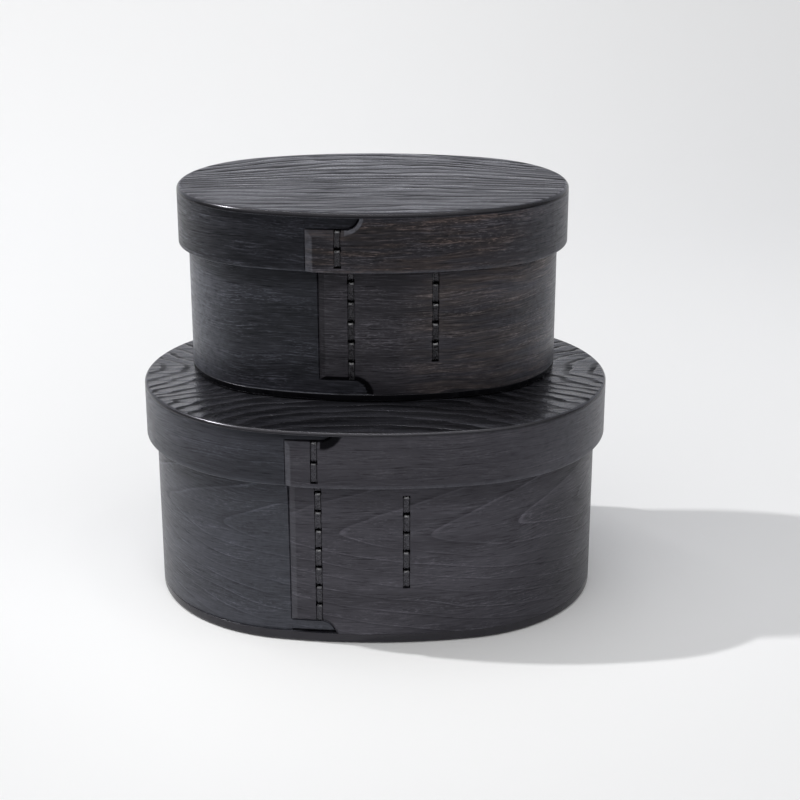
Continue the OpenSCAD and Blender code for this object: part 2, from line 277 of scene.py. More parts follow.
class Row:
    """One row of lacing: its place along the wall and the heights of its holes."""

    def __init__(self, node, oval, floor):
        low, high = node_box(node)
        middle = (low[0] + high[0]) / 2 - oval.centre[0]
        self.node = node
        self.s = oval.run_to(middle * oval.side / (oval.side - WALL / 2))
        first = low[2] - floor + STRIP_PASS / 2
        last = high[2] - floor - STRIP_PASS / 2
        self.holes = np.linspace(first, last, STITCHES[node] + 1)
        self.half = STRIP_WIDTH / 2 + GROOVE_PLAY
        # An end hole is open only on the side that a loop leaves it.
        low, high = self.holes - HOLE_HEIGHT / 2, self.holes + HOLE_HEIGHT / 2
        low[0], high[-1] = first, last
        self.pits = list(zip(low, high))

    def along(self, z):
        """1 between the row's end holes."""
        half = (self.holes[-1] - self.holes[0]) / 2
        return soft_box(z - self.holes[0] - half, half, GROOVE_RAMP)

    def in_pit(self, z, pit):
        """1 at the heights of one hole."""
        low, high = pit
        return soft_box(z - (low + high) / 2, (high - low) / 2, HOLE_RAMP)

    def carve(self, s, z, surface, hole_depth):
        """Depth of a face with this row's groove and holes cut into it."""
        cut = surface + GROOVE * soft_box(s - self.s, self.half, GROOVE_RAMP) * self.along(z)
        wide = soft_box(s - self.s, HOLE_WIDTH / 2, GROOVE_RAMP)
        for pit in self.pits:
            cut = np.maximum(cut, wide * self.in_pit(z, pit) * hole_depth)
        return cut

    def dark(self, s, z):
        """Painted shade for the material: 1 in the holes, less in the groove."""
        wide = soft_box(s - self.s, HOLE_WIDTH / 2, GROOVE_RAMP)
        shade = GROOVE_SHADE * wide * self.along(z)
        for pit in self.pits:
            shade = np.maximum(shade, wide * self.in_pit(z, pit))
        return shade

    def marks_along(self):
        """Both ends of each ramp beside the groove and the holes."""
        ramp = GROOVE_RAMP / 2
        edges = [half + e for half in (self.half, HOLE_WIDTH / 2) for e in (-ramp, ramp)]
        return [self.s + side * edge for side in (-1, 1) for edge in edges]

    def marks_up(self):
        """Both ends of each ramp below and above the holes."""
        ramp = HOLE_RAMP / 2
        return [end + e for pit in self.pits for end in pit for e in (-ramp, ramp)]


class Band:
    """One bent board with its lap, its notch and its rows of lacing."""

    def __init__(self, box, kind):
        self.name = f"{box}_{kind}"
        self.kind = kind
        base = node_box(f"{box}_base_board")
        lid = node_box(f"{box}_lid_board")
        grow = lid[1][0] - base[1][0] if kind == "lid" else 0.0
        self.oval = Oval(*base, SIDE_BOW[box], grow)
        low, high = node_box(f"{self.name}_band")
        self.floor = low[2]
        self.height = high[2] - low[2]
        kinds = ("outer_stitch", "inner_stitch") if kind == "body" else ("stitch",)
        self.rows = [Row(f"{self.name}_{k}", self.oval, self.floor) for k in kinds]
        self.tab = self.rows[0].s - ROW_INSET[box]
        self.inner_end = self.tab + LAP[kind]
        self.slope = (WALL - 2 * LAP_STEP) / LAP[kind]
        self.notch, length, self.bevel, self.round_bevel = NOTCH[self.name]
        self.notch_end = self.tab + length
        self.cover = node_box(f"{box}_lid_band")[0][2] - self.floor
        self.end_bevel = END_BEVEL[self.name]
        self.low_ease, self.top_ease = BAND_EASE[self.name]

    def inward(self, z):
        """Distance from the edge that the notch is cut in."""
        return z if self.kind == "body" else self.height - z

    def gap(self, s, z):
        """Distance from the notch beside the tab: positive on the tab, negative in the notch."""
        inward = self.inward(z)
        centre = self.notch - NOTCH_ROUND
        rounded = np.hypot(s - self.notch_end, inward - centre) - NOTCH_ROUND
        upright = s - self.notch_end - NOTCH_ROUND
        beyond = np.where(inward > centre, rounded, upright)
        return np.where(s <= self.notch_end, inward - self.notch, beyond)

    def on_tab(self, s, z):
        """Where the outer layer of the lap lies on top."""
        return (s >= self.tab) & (self.gap(s, z) > 0)

    def fade(self, s):
        """The bare under layer blends into the full wall round the end of the oval."""
        return np.cos(np.clip(self.oval.turn(s), -math.pi / 2, math.pi / 2)) ** FADE_POWER

    def end_edge(self, s):
        """1 at the tab's foot, 0 where its bevel starts."""
        return 1 - (s - self.tab) / self.end_bevel

    def notch_edge(self, s, z):
        """1 at the notch, 0 where its bevel starts."""
        bend = np.clip((s - self.notch_end + BEVEL_LEAD) / BEVEL_CHANGE, 0, 1)
        return 1 - self.gap(s, z) / (self.bevel + (self.round_bevel - self.bevel) * bend)

    def tab_tone(self, s, z):
        """Paler or darker tone on the outer layer's two bevels: rubbed stain with painted light, or
        painted shade.
        """
        end, straight, curve, _ = WEAR_AND_PAINTED_LIGHT[self.name]
        on_end, on_notch = self.end_edge(s), self.notch_edge(s, z)
        end_mark = end * np.clip(BEVEL_TONE_RISE * on_end, 0, 1)
        along_notch = np.where(s > self.notch_end, curve, straight)
        notch_mark = along_notch * np.clip(BEVEL_TONE_RISE * on_notch, 0, 1)
        return np.where(on_end > on_notch, end_mark, notch_mark)

    def tone_mark(self, s, z, upper, front):
        """Mark for the material: above 0 rubbed stain and painted light, below 0 painted shade."""
        # Painted light and shade on the bare under layer
        bare = BARE_PAINTED_LIGHT_AND_SHADE[self.name] * self.fade(s)
        lid_shade = 0.0
        if self.kind == "body":
            # Painted shade on the body below the lid's edge
            black, reach = LID_PAINTED_SHADE
            lid_shade = black * np.clip(1 - (self.cover - z) / reach, 0, 1)
        else:
            # Painted shade on the bare layer below the lip
            black, reach = LIP_PAINTED_SHADE
            bare = bare - black * np.clip(LIP_PAINTED_SHADE_END - self.inward(z) / reach, 0, 1) * self.fade(s)
        mark = np.where(upper, self.tab_tone(s, z), np.maximum(bare, BARE_BLACKEST)) - lid_shade
        # Painted light and shade on the left and right ends of the oval
        left, right = END_PAINTED_LIGHT_AND_SHADE[self.name]
        mark = mark + np.where(s < 0, left, right) * np.sin(self.oval.turn(s)) ** 2
        # Pale line along the lower edge: worn stain and a painted highlight
        edge = np.clip(EDGE_TONE_END - z / self.low_ease, 0, 1)
        rim = WEAR_AND_PAINTED_LIGHT[self.name][-1]
        mark = (mark * (1 - edge) + rim * edge) * front
        # Painted shade in the holes and grooves of the lacing
        for row in self.rows:
            shade = row.dark(s, z)
            mark = mark * (1 - shade) - shade
        return mark

    def foot_line(self, s, z):
        """Narrow open line at the tab's foot."""
        low, top = FOOT_LINE[self.kind]
        width = low + (top - low) * (z / self.height) ** 2
        inside = np.clip(1 - np.abs(s - self.tab + width) / width, 0, 1)
        return FOOT_LINE_DEPTH * width * inside * (self.gap(s, z) > 0)

    def surface(self, s, z):
        """Depth of the outside below the oval, before the rows are cut."""
        past_tab = s > self.tab
        bare = np.where(s < self.tab, LAP_STEP * self.fade(s), LAP_STEP + (s - self.tab) * self.slope)
        if self.name in NOTCH_GAP:
            space = NOTCH_GAP[self.name]
            bare = bare + NOTCH_GAP_DEPTH * past_tab * np.clip(2 * (space - z) / space, 0, 1)
        width, deep = NOTCH_LINE
        bare = bare + deep * past_tab * np.clip(1 + self.gap(s, z) / width, 0, 1)
        tab = LAP_STEP * np.clip(np.maximum(self.end_edge(s), self.notch_edge(s, z)), 0, 1)
        return np.where(self.on_tab(s, z), tab, bare) + self.foot_line(s, z)

    def outside(self, s, z):
        """Depth of the outside below the oval, with the rows cut."""
        depth = self.surface(s, z)
        for row in self.rows:
            depth = row.carve(s, z, depth, HOLE_DEPTH)
        return depth

    def inside(self, s, z):
        """How far the inner face lies outside the inner oval."""
        ramp = LAP_STEP * np.clip((s - self.inner_end) / INNER_BEVEL + 1, 0, 1)
        depth = np.where(s > self.inner_end, LAP_STEP * self.fade(s), ramp)
        for row in self.rows:
            depth = row.carve(s, z, depth, INNER_HOLE_DEPTH)
        return depth

    def stations(self):
        """Places along the wall, close together at the tab and its notch."""
        half = self.oval.length / 2
        start = self.tab - LAP_REACH
        stop = self.notch_end + NOTCH_ROUND + self.round_bevel + NOTCH_REACH
        far = max(self.inner_end, self.rows[-1].s) + LAP_REACH
        marks = [self.tab + e for e in FOOT_LINES + (-STEP_LINE, STEP_LINE, self.end_bevel)]
        marks += [self.inner_end + e for e in (-INNER_BEVEL, -STEP_LINE, STEP_LINE)]
        for row in self.rows:
            marks += row.marks_along()
        spans = [(-half, start, OVAL_STEP), (start, stop, TAB_STEP)]
        spans += [(stop, far, LAP_MESH_STEP), (far, half, OVAL_STEP)]
        return grid_lines(spans, marks)

    def heights(self, spans, start, stop):
        """Heights from spans, with exact ones at the holes and at both limits."""
        marks = [start, stop] + [z for row in self.rows for z in row.marks_up()]
        levels = grid_lines(spans, marks)
        return levels[(levels >= start) & (levels <= stop)]

    def levels(self):
        """Heights on the outside between its eased edges, close together at the notch."""
        start, stop = self.low_ease, self.height - self.top_ease
        near = self.inward(self.notch + self.bevel + NOTCH_LEVEL_REACH)
        steps = (NOTCH_LEVEL, OPEN_LEVEL[self.kind])
        if self.kind == "lid":
            steps = steps[::-1]
        return self.heights([(start, near, steps[0]), (near, stop, steps[1])], start, stop)

    def inner_levels(self):
        """Heights on the inside between its eased edges."""
        start, stop = INNER_EASE, self.height - INNER_EASE
        return self.heights([(start, stop, INNER_LEVEL)], start, stop)

    def eased(self, levels, low, top):
        """Heights up one face with its two rounded edges, and how far each height is set back."""
        arc = np.radians([22.5, 45, 67.5, 90])
        z = [low - low * np.sin(arc[::-1]), levels, self.height - top + top * np.sin(arc)]
        back = [low - low * np.cos(arc[::-1]), 0 * levels, top - top * np.cos(arc)]
        return np.concatenate(z), np.concatenate(back)

    def build(self, material):
        """Closed mesh: each station is a loop up the outside, over the rim, down the inside and back."""
        outer_z, outer_back = self.eased(self.levels(), self.low_ease, self.top_ease)
        inner_z, inner_back = self.eased(self.inner_levels(), INNER_EASE, INNER_EASE)
        loop = np.concatenate([outer_z, inner_z[::-1]])
        s, z = np.meshgrid(self.stations(), loop, indexing="ij")
        front = np.arange(len(loop)) < len(outer_z)
        back = np.concatenate([outer_back, inner_back[::-1]])
        depth = np.where(front, self.outside(s, z) + back, WALL - self.inside(s, z) - back)
        x, y = self.oval.place(s, depth)
        centre = self.oval.centre
        points = np.stack([x + centre[0], y + centre[1], z + self.floor], axis=-1).reshape(-1, 3)
        upper = (self.on_tab(s, z) | ~front) & (s >= self.tab)
        along = s - self.tab + np.where(upper, 0.0, self.oval.length)
        grain = np.stack([along, z, self.tone_mark(s, z, upper, front)], axis=-1).reshape(-1, 3)
        node = f"{self.name}_band"
        add_piece(node, "bent", points, grid_faces(*s.shape), grain, self.name, material)


def strip_section(width):
    """Cross-section of a bark strip: an oblong with round edges, hollow along its outward face."""
    edge = STRIP_THICK / 2
    points = []
    for side in (-1, 1):
        for a in np.radians([90, 45, 0, -45, -90]):
            points.append((side * (width / 2 - edge + edge * math.cos(a)), -side * edge * math.sin(a)))
    for part in (0.8, 0.6, 0.3, 0.0, -0.3, -0.6, -0.8):
        points.append((part * (width / 2 - edge), edge - STRIP_HOLLOW * (1 - part**2)))
    return np.array(points)


def strip_loop(band, row, low, high):
    """One laced loop over the face and back through two holes: depths, heights and the painted glint on
    its shoulder.
    """
    half = STRIP_THICK / 2
    leg = HOLE_HEIGHT / 2 - GROOVE_PLAY - half
    bend = STRIP_BEND
    bottom, top = low + leg + bend, high - leg - bend
    span = np.linspace(bottom, top, LOOP_POINTS)
    face = band.surface(np.full_like(span, row.s), span)
    padded = np.pad(face, LOOP_SMOOTH // 2, mode="edge")
    face = np.convolve(padded, np.ones(LOOP_SMOOTH) / LOOP_SMOOTH, mode="valid")
    arch = STRIP_CROWN * (1 - ((2 * span - low - high) / (high - low)) ** 2)
    front = face + half - STRIP_PROUD - arch
    back = WALL - half + STRIP_PROUD_INSIDE[band.kind]
    path = list(zip(front, span))
    turn = np.radians([15, 30, 45, 60, 75, 90])
    path += [(front[-1] + bend - bend * math.cos(a), top + bend * math.sin(a)) for a in turn]
    path += [(back - bend + bend * math.sin(a), top + bend * math.cos(a)) for a in turn]
    path += [(back, z) for z in span[-2::-1]]
    path += [(back - bend + bend * math.cos(a), bottom - bend * math.sin(a)) for a in turn]
    path += [(front[0] + bend - bend * math.sin(a), bottom - bend * math.cos(a)) for a in turn[:-1]]
    # Painted glint on the upper shoulder
    lighter_patch = np.zeros(len(path))
    lighter_patch[len(span):len(span) + len(turn)] = np.sin(2 * turn)
    return np.array(path), lighter_patch


def lace(band, row, material):
    """All loops of one row of lacing as one piece."""
    points, faces, grain = [], [], []
    centre = band.oval.centre
    for low, high in zip(row.holes[:-1], row.holes[1:]):
        path, lighter_patch = strip_loop(band, row, low, high)
        ahead = np.roll(path, -1, axis=0) - np.roll(path, 1, axis=0)
        ahead /= np.hypot(ahead[:, 0], ahead[:, 1])[:, None]
        walked = np.cumsum(np.hypot(*(path - np.roll(path, 1, axis=0)).T)) + STRIP_JUMP * low
        section = strip_section(STRIP_WIDTH * rng.uniform(*STRIP_SHARES))
        shift = rng.uniform(-STRIP_SHIFT, STRIP_SHIFT)
        lean = rng.uniform(-STRIP_LEAN, STRIP_LEAN)
        across, out = section[None, :, 0], section[None, :, 1]
        depth = path[:, :1] - out * ahead[:, 1:]
        z = path[:, 1:] + out * ahead[:, :1]
        s = row.s + across + shift + lean * (path[:, 1:] - (low + high) / 2)
        x, y = band.oval.place(s, depth)
        faces += grid_faces(*z.shape, start=len(points))
        points += np.stack([x + centre[0], y + centre[1], z + band.floor], axis=-1).reshape(-1, 3).tolist()
        # Painted glint, strongest in the middle of the strip
        middle = 1 - (across / STRIP_WIDTH * STRIP_GLINT_FADE) ** 2
        lightened = lighter_patch[:, None] * middle * rng.uniform(*STRIP_GLINT)
        marks = np.broadcast_arrays(across, walked[:, None], lightened)
        grain += np.stack(marks, axis=-1).reshape(-1, 3).tolist()
    add_piece(row.node, "laced", points, faces, grain, band.name, material)


def quarter(inset, z, radius, start, stop, tone_mark=0.0):
    """Rounded edge as insets, heights and tone marks, from one angle to another; 0 faces out, 90 up."""
    turn = np.radians(np.linspace(start, stop, ROUND_POINTS))
    return [(inset + radius - radius * math.cos(a), z + radius * math.sin(a), tone_mark) for a in turn]


def board(oval, profile, body, node, material):
    """Flat oval board: rings that follow a profile of insets, heights and tone marks, closed at both
    faces.
    """
    s = np.linspace(-oval.length / 2, oval.length / 2, BOARD_POINTS, endpoint=False)
    first, last = profile[0], profile[-1]
    steps = [(k, *first) for k in BOARD_RINGS] + [(1.0, *step) for step in profile]
    steps += [(k, *last) for k in reversed(BOARD_RINGS)]
    rings, marks = [], []
    for scale, inset, z, tone_mark in steps:
        x, y = oval.place(s, inset)
        rings.append(np.stack([x * scale, y * scale, np.full_like(s, z)], axis=-1))
        marks.append(np.full_like(s, tone_mark if scale == 1.0 else 0.0))
    count, around = len(rings), len(s)
    points = np.concatenate(rings + [[[0, 0, first[1]], [0, 0, last[1]]]])
    faces = [face[::-1] for face in grid_faces(count, around, closed=False)]
    top = (count - 1) * around
    faces += [(count * around, (k + 1) % around, k) for k in range(around)]
    faces += [(count * around + 1, top + k, top + (k + 1) % around) for k in range(around)]
    grain = points.copy()
    grain[:, 2] = np.concatenate(marks + [[0.0, 0.0]])
    points = points + np.array([oval.centre[0], oval.centre[1], 0])
    add_piece(node, "flat", points, faces, grain, body, material)


def base_board(band, box, material):
    """Base board with its lower edge rounded and a painted highlight on the ledge under the band's bare
    layer.
    """
    node = f"{box}_base_board"
    low, high = node_box(node)[0][2], node_box(node)[1][2]
    ledge = LEDGE_HIGHLIGHT[box]
    profile = quarter(0, low + BASE_ROUND, BASE_ROUND, -90, 0)
    profile += quarter(0, high - BOARD_EASE, BOARD_EASE, 0, 90)
    # Painted highlight along the ledge
    profile += [(LEDGE_START, high, ledge), (LAP_STEP, high, ledge), (LEDGE_END * LAP_STEP, high, 0.0)]
    board(band.oval, profile, band.name, node, material)


def lid_board(band, box, material):
    """Lid board: a plug inside the band and a rounded lip over the top of it."""
    node = f"{box}_lid_board"
    low, high = node_box(node)[0][2], node_box(node)[1][2]
    lip = band.floor + band.height
    plug = WALL + PLUG_PLAY
    edge = LID_ROUND[box]
    corner, rise = PLUG_CORNER
    profile = quarter(plug, low + BOARD_EASE, BOARD_EASE, -90, 0)
    profile += [(plug, lip - rise, 0.0), (plug - corner, lip, 0.0)]
    # Painted highlight on the lip's lower edge
    profile += quarter(0, lip + BOARD_EASE / 2, BOARD_EASE / 2, -90, 0, LIP_HIGHLIGHT)
    profile += quarter(0, high - edge, edge, 0, 90)
    board(band.oval, profile, band.name, node, material)


class Nodes:
    """Short calls for building a node tree."""

    def __init__(self, owner):
        owner.use_nodes = True
        self.tree = owner.node_tree

    def put(self, kind, **inputs):
        """A new node with some of its inputs set."""
        made = self.tree.nodes.new(kind)
        for key, value in inputs.items():
            self.feed(made.inputs[key.replace("_", " ")], value)
        return made

    def feed(self, socket, value):
        """A link from another socket, or else a plain value."""
        if isinstance(value, bpy.types.NodeSocket):
            self.tree.links.new(value, socket)
        else:
            socket.default_value = value

    def math(self, operation, a, b=0.0, c=0.0):
        made = self.tree.nodes.new("ShaderNodeMath")
        made.operation = operation
        for socket, value in zip(made.inputs, (a, b, c)):
            self.feed(socket, value)
        return made.outputs[0]

    def times(self, a, b):
        return self.math("MULTIPLY", a, b)

    def add(self, a, b, c=0.0):
        """a * b + c"""
        return self.math("MULTIPLY_ADD", a, b, c)

    def blend(self, factor, a, b):
        """From one number to another by a factor."""
        return self.add(factor, self.math("SUBTRACT", b, a), a)

    def split(self, vector):
        return self.put("ShaderNodeSeparateXYZ", Vector=vector).outputs

    def noise(self, x, y, z, detail):
        """Noise at a place, with a number of finer layers."""
        place = self.put("ShaderNodeCombineXYZ", X=x, Y=y, Z=z).outputs[0]
        made = self.put("ShaderNodeTexNoise", Vector=place, Scale=1.0, Detail=detail, Roughness=0.62)
        return made.outputs[0]

    def ramp(self, value, low, high, from_low=0.0, to_high=1.0):
        """Smooth step from one output to another as the value passes from low to high."""
        made = self.tree.nodes.new("ShaderNodeMapRange")
        made.interpolation_type = "SMOOTHSTEP"
        for socket, number in zip(made.inputs, (value, low, high, from_low, to_high)):
            self.feed(socket, number)
        return made.outputs[0]

    def mix(self, factor, a, b):
        """From one colour to another by a factor."""
        made = self.tree.nodes.new("ShaderNodeMix")
        made.data_type = "RGBA"
        for index, value in zip((0, 6, 7), (factor, a, b)):
            self.feed(made.inputs[index], value)
        return made.outputs[2]

    def bump(self, height, strength, distance):
        return self.put("ShaderNodeBump", Height=height, Strength=strength, Distance=distance).outputs[0]


def new_material(name):
    """Nodes of a new material, with its shader."""
    material = bpy.data.materials.new(name)
    n = Nodes(material)
    n.material = material
    n.shader = n.tree.nodes["Principled BSDF"]
    return n


def grain_of(n):
    """The mesh's grain: two places in millimetres, and a mark for rubbed stain, painted light and painted
    shade.
    """
    place = n.put("ShaderNodeAttribute")
    place.attribute_name = "grain"
    return n.split(place.outputs["Vector"])


def streaks(n, along, across, per_along, per_across, seed, detail=5.0):
    """Noise drawn out along the board, by counts per millimetre along and across."""
    return n.noise(n.times(along, per_along), n.times(across, per_across), seed, detail)


# Colours of stain, bark, shine and painted light
BLACK = (0.003, 0.003, 0.004, 1)
LARGE_DARK = (0.0140, 0.0130, 0.0175, 1)
SMALL_DARK = (0.0035, 0.0030, 0.0045, 1)
COOL_LIGHT = (0.095, 0.105, 0.140, 1)
# Pale colour for rubbed stain and for painted light
RUBBED_AND_PAINTED_LIGHT = (0.150, 0.157, 0.185, 1)
# Colour of the painted highlights on the bark's rims
BARK_RIM_HIGHLIGHT = (0.16, 0.16, 0.17, 1)
# Colour of the painted glints on the bark's shoulders
BARK_GLINT = (0.62, 0.62, 0.63, 1)
SHINE_TINT = (0.93, 0.91, 1.0, 1)
COOL_TINT = (0.84, 0.90, 1.0, 1)
BROWN_TINT = (1.0, 0.90, 0.85, 1)

# How far the wood's lines wander across the board, and the rounding of rings at the heart and of tongues
LINE_WANDER = 9.0
HEART_ROUND = 6.0
TONGUE_ROUND_SQUARED = 600.0
# Fading of a brown stretch at its start and at its end
BROWN_FADE = (12.0, 20.0)
# Height of the raised grain in metres, before the figure's fineness
GRAIN_HEIGHT = 0.00025

# Plain figure: nearly straight rings, far from the heart
PLAIN = {
    # Place of the heart across the board, squeeze of the rings below it, their width and length
    "heart": -60.0,
    "squeeze": 0.0,
    "spread": 4.5,
    "period": 240.0,
    # Tongues that point in from the ends, as start and slope, and how far rings wander and bow
    "tongue": None,
    "wander": 0.0,
    "bow": 0.0,
    # Strength of ring lines, ridges and grooves, width of a groove, strength where calm, and if in patches
    "lines": 0.25,
    "ridge": 0.0,
    "groove": 0.2,
    "cut": 0.16,
    "calm": 1.0,
    "patchy": False,
    # Strength of pale streaks and of sunk fibres, and factors for the count of fibres across and along
    "streak": 0.8,
    "etch": 0.6,
    "fine": 1.0,
    "run": 1.0,
    # Roughness, less of it on pale fibres, more of it in hollows, strength of the shine and of the relief
    "rough": 0.38,
    "brushed": 0.15,
    "dull": 0.15,
    "shine": 0.42,
    "relief": 0.4,
    # Colour of a board's rounded edge, its shine on the upper part, and a share of that on the side
    "edge": None,
    "gleam": 0.6,
    "edge_shine": 1.0,
    # Stretch rubbed brown, as colour, start and stop, and stretch over which the wood turns cooler
    "brown": None,
    "cool": None,
}


class StainedWood:
    """Black-stained wood. Each noise takes its own offset from the material's seed."""

    def __init__(self, name, seed, dark, light, figure):
        self.n = new_material(name)
        self.seed = seed
        self.dark = dark
        self.light = light
        self.figure = figure
        self.along, self.across, self.mark = grain_of(self.n)
        self.draw_fibres()
        self.draw_rings()
        self.draw_colour()
        self.draw_finish()
        if figure["edge"]:
            self.round_edge()
        self.paint_light_and_wear()
        self.connect()

    def streaks(self, across, per_along, per_across, offset, detail=5.0):
        """Noise drawn out along this board."""
        return streaks(self.n, self.along, across, per_along, per_across, self.seed + offset, detail)

    def draw_fibres(self):
        """Fibres, flecks and clusters of them, along lines that wander and bow."""
        n, figure = self.n, self.figure
        drift = self.streaks(self.across, 0.012, 0.03, 0, 2.0)
        self.wavy = n.add(drift, LINE_WANDER, n.math("SUBTRACT", self.across, LINE_WANDER / 2))
        if figure["bow"]:
            arch = n.times(n.times(self.along, self.along), figure["bow"])
            self.wavy = n.add(arch, n.ramp(self.across, -35.0, 35.0), self.wavy)
        self.fibre = self.streaks(self.wavy, 0.11 * figure["run"], 1.4 * figure["fine"], 3)
        self.fleck = self.streaks(self.wavy, 0.45, 2.0 * figure["fine"], 17, 3.0)
        self.cluster = n.ramp(self.streaks(self.wavy, 0.022, 0.13 * figure["fine"], 29, 3.0), 0.40, 0.64)
        self.pale = n.ramp(self.fibre, 0.50, 0.72)
        self.speck = n.ramp(self.fleck, 0.52, 0.68)

    def growth_rings(self):
        """Saw-tooth from one ring to the next, round a heart, with tongues from the ends."""
        n, figure = self.n, self.figure
        off = n.math("SUBTRACT", self.wavy, figure["heart"])
        below = n.math("LESS_THAN", off, 0.0)
        off = n.times(off, n.add(below, figure["squeeze"], 1.0))
        count = n.times(n.math("SQRT", n.add(off, off, HEART_ROUND**2)), 1.0 / figure["spread"])
        if figure["tongue"]:
            start, slope = figure["tongue"]
            past = n.math("SUBTRACT", n.math("ABSOLUTE", self.along), start)
            rounded = n.math("SQRT", n.add(past, past, TONGUE_ROUND_SQUARED))
            beyond = n.add(rounded, 0.5, n.times(past, 0.5))
            count = n.add(beyond, -slope / figure["spread"], count)
        else:
            count = n.add(self.along, -1.0 / figure["period"], count)
        if figure["wander"]:
            count = n.add(self.streaks(self.wavy, 0.010, 0.04, 61, 3.0), figure["wander"], count)
        return n.math("FRACT", count)

    def ring_strength(self):
        """Rings are calmer on one part of the board, and patchy."""
        n, figure = self.n, self.figure
        if figure["tongue"]:
            strength = n.ramp(n.math("ABSOLUTE", self.along), 20.0, 80.0, figure["calm"], 1.0)
        else:
            strength = n.ramp(self.across, -35.0, 5.0, figure["calm"], 1.0)
        if figure["patchy"]:
            patches = self.streaks(self.across, 0.006, 0.07, 71, 2.0)
            strength = n.times(strength, n.ramp(patches, 0.36, 0.60, 0.35, 1.0))
        return strength

    def draw_rings(self):
        """Each ring starts with a thin pale line and fades through specks into the next one's groove."""
        n, cut = self.n, self.figure["cut"]
        tooth = self.growth_rings()
        self.tooth = tooth
        strength = self.ring_strength()
        line = n.times(n.ramp(tooth, 0.90, 0.965), n.ramp(tooth, 0.98, 1.0, 1.0, 0.0))
        ring = n.add(n.times(n.math("POWER", tooth, 3.0), self.speck), 0.9, line)
        self.ring = n.times(ring, n.add(self.cluster, 0.75, 0.25))
        rise = n.times(n.ramp(tooth, 0.30, 0.85), n.ramp(tooth, 0.90, 1.0, 1.0, 0.0))
        self.ridge = n.times(rise, strength)
        self.groove = n.times(n.ramp(tooth, 0.4 * cut, cut, 1.0, 0.0), strength)

    def draw_colour(self):
        """Pale streaks over the dark stain, cooler or brown in places, and black hollows."""
        n, figure = self.n, self.figure
        broad = n.ramp(self.streaks(self.across, 0.010, 0.05, 9, 3.0), 0.35, 0.68)
        sunk = n.ramp(self.fibre, 0.30, 0.47, 1.0, 0.0)
        tone = n.times(self.pale, n.add(self.cluster, 0.6, 0.4))
        tone = n.add(n.times(self.speck, self.cluster), 0.75, tone)
        tone = n.add(broad, 0.22, n.times(tone, figure["streak"]))
        tone = n.add(self.ring, figure["lines"], n.add(self.ridge, figure["ridge"], tone))
        hollow = n.add(self.groove, figure["groove"], n.times(sunk, figure["etch"]))
        self.hollow = n.math("MINIMUM", hollow, 1.0)
        self.colour = n.mix(tone, self.dark, self.light)
        self.tint = SHINE_TINT
        if figure["cool"]:
            self.turn_cool(tone)
        if figure["brown"]:
            self.rub_brown(tone)
        self.colour = n.mix(n.times(self.hollow, 0.75), self.colour, BLACK)

    def turn_cool(self, tone):
        """Stain and shine turn cooler along one stretch."""
        n = self.n
        cool = n.ramp(self.along, *self.figure["cool"])
        self.colour = n.mix(n.times(cool, 0.5), self.colour, n.mix(tone, self.dark, COOL_LIGHT))
        self.tint = n.mix(cool, self.tint, COOL_TINT)

    def rub_brown(self, tone):
        """Stain rubbed through to brown over one stretch."""
        n = self.n
        brown, start, stop = self.figure["brown"]
        rise, fall = BROWN_FADE
        inside = n.ramp(self.along, start - rise, start + rise)
        inside = n.times(inside, n.ramp(self.along, stop - fall, stop + fall, 1.0, 0.0))
        lighter_patch = n.ramp(self.streaks(self.wavy, 0.03, 0.35, 41, 4.0), 0.40, 0.62, 0.0, 0.85)
        factor = n.times(inside, lighter_patch)
        self.colour = n.mix(factor, self.colour, n.mix(tone, self.dark, brown))
        self.tint = n.mix(factor, self.tint, BROWN_TINT)

    def draw_finish(self):
        """Roughness, shine and relief of the stained grain."""
        n, figure = self.n, self.figure
        smooth = n.add(self.ridge, figure["ridge"], n.times(self.pale, 0.6))
        smooth = n.math("MINIMUM", smooth, 1.0)
        self.rough = n.add(smooth, -figure["brushed"], figure["rough"])
        self.rough = n.add(self.hollow, figure["dull"], self.rough)
        self.gloss = n.add(self.hollow, -0.7 * figure["shine"], figure["shine"])
        height = n.add(self.fleck, 0.3, n.times(self.fibre, 0.7))
        height = n.add(self.ridge, figure["ridge"], height)
        self.height = n.add(self.tooth, 0.4 * figure["lines"], height)

    def round_edge(self):
        """A board's rounded edge is one smooth colour, shinier above than on its side."""
        n, figure = self.n, self.figure
        normal = n.put("ShaderNodeNewGeometry").outputs["Normal"]
        upright = n.math("ABSOLUTE", n.split(normal)[2])
        edge = n.ramp(upright, 0.80, 0.995, 1.0, 0.0)
        self.colour = n.mix(n.times(edge, 0.9), self.colour, figure["edge"])
        self.rough = n.blend(edge, self.rough, 0.25)
        self.gloss = n.blend(edge, self.gloss, figure["gleam"])
        self.gloss = n.times(self.gloss, n.ramp(upright, 0.15, 0.5, figure["edge_shine"], 1.0))
        self.height = n.times(self.height, n.ramp(upright, 0.97, 0.999))

    def paint_light_and_wear(self):
        """Pale where stain is rubbed off and where light is painted, black and dull where shade is
        painted.
        """
        n = self.n
        patchy = n.ramp(self.streaks(self.across, 0.4, 0.4, 53, 4.0), 0.30, 0.62, 0.4, 1.0)
        lightened = n.times(n.math("MAXIMUM", self.mark, 0.0), patchy)
        painted_shade = n.math("MAXIMUM", n.times(self.mark, -1.0), 0.0)
        self.colour = n.mix(lightened, self.colour, RUBBED_AND_PAINTED_LIGHT)
        # Painted shade: black, with less shine
        self.colour = n.mix(painted_shade, self.colour, BLACK)
        self.gloss = n.times(self.gloss, n.add(painted_shade, -0.95, 1.0))

